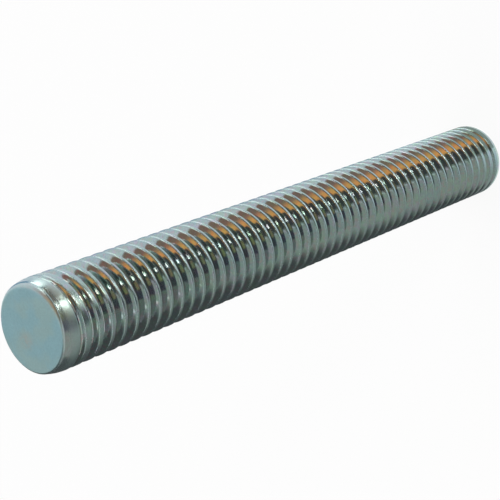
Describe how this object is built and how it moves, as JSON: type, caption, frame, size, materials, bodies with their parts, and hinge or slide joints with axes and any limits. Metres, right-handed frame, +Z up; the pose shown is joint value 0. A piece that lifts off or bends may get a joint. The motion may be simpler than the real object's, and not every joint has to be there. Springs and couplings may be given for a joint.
{
  "type": "threaded rod",
  "caption": "Short fully threaded steel rod with a right-hand metric thread, chamfered ends and a bright zinc finish.",
  "frame": {"origin": "centre of the bottom end face, on which the rod stands", "axes": "+Z up along the rod's axis; the thread is right-hand about it; X and Y are square to the axis"},
  "size_m": [0.0058, 0.0058, 0.0493],
  "materials": {
    "zinc_plated_steel": "bright zinc plate with a blue passivation"
  },
  "bodies": {
    "root": {"threaded_rod": "zinc_plated_steel"}
  },
  "joints": []
}
